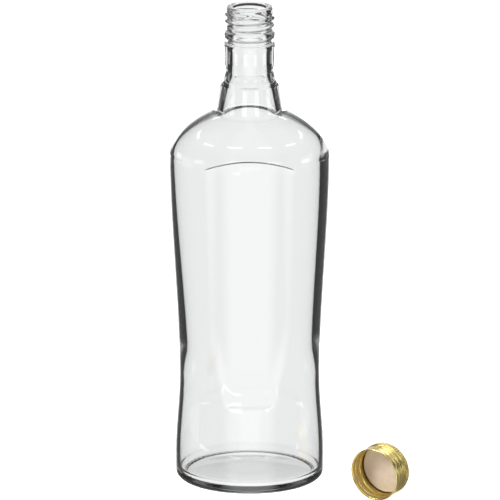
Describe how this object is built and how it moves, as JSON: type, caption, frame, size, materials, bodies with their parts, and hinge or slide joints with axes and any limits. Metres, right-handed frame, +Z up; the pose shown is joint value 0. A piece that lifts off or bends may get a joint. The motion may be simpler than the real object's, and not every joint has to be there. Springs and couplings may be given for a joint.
{
  "type": "glass bottle with screw cap",
  "caption": "Tall clear glass bottle with an oval waisted body, round shoulders and a threaded neck, with its gold screw cap lying beside it.",
  "frame": {"origin": "middle of the base, on the surface that the bottle stands on", "axes": "+Z up along the bottle's axis towards the mouth, +X along the wide way of the oval, -Y towards the front label panel"},
  "size_m": [0.1331, 0.0812, 0.2723],
  "materials": {
    "clear_glass": "clear, glossy, colourless container glass",
    "gold_aluminium": "gold lacquered drawn sheet, satin gloss",
    "foam_liner": "beige expanded foam disc, matt"
  },
  "bodies": {
    "root": {"glass_bottle": "clear_glass", "screw_cap": "gold_aluminium", "cap_liner": "foam_liner"}
  },
  "joints": []
}
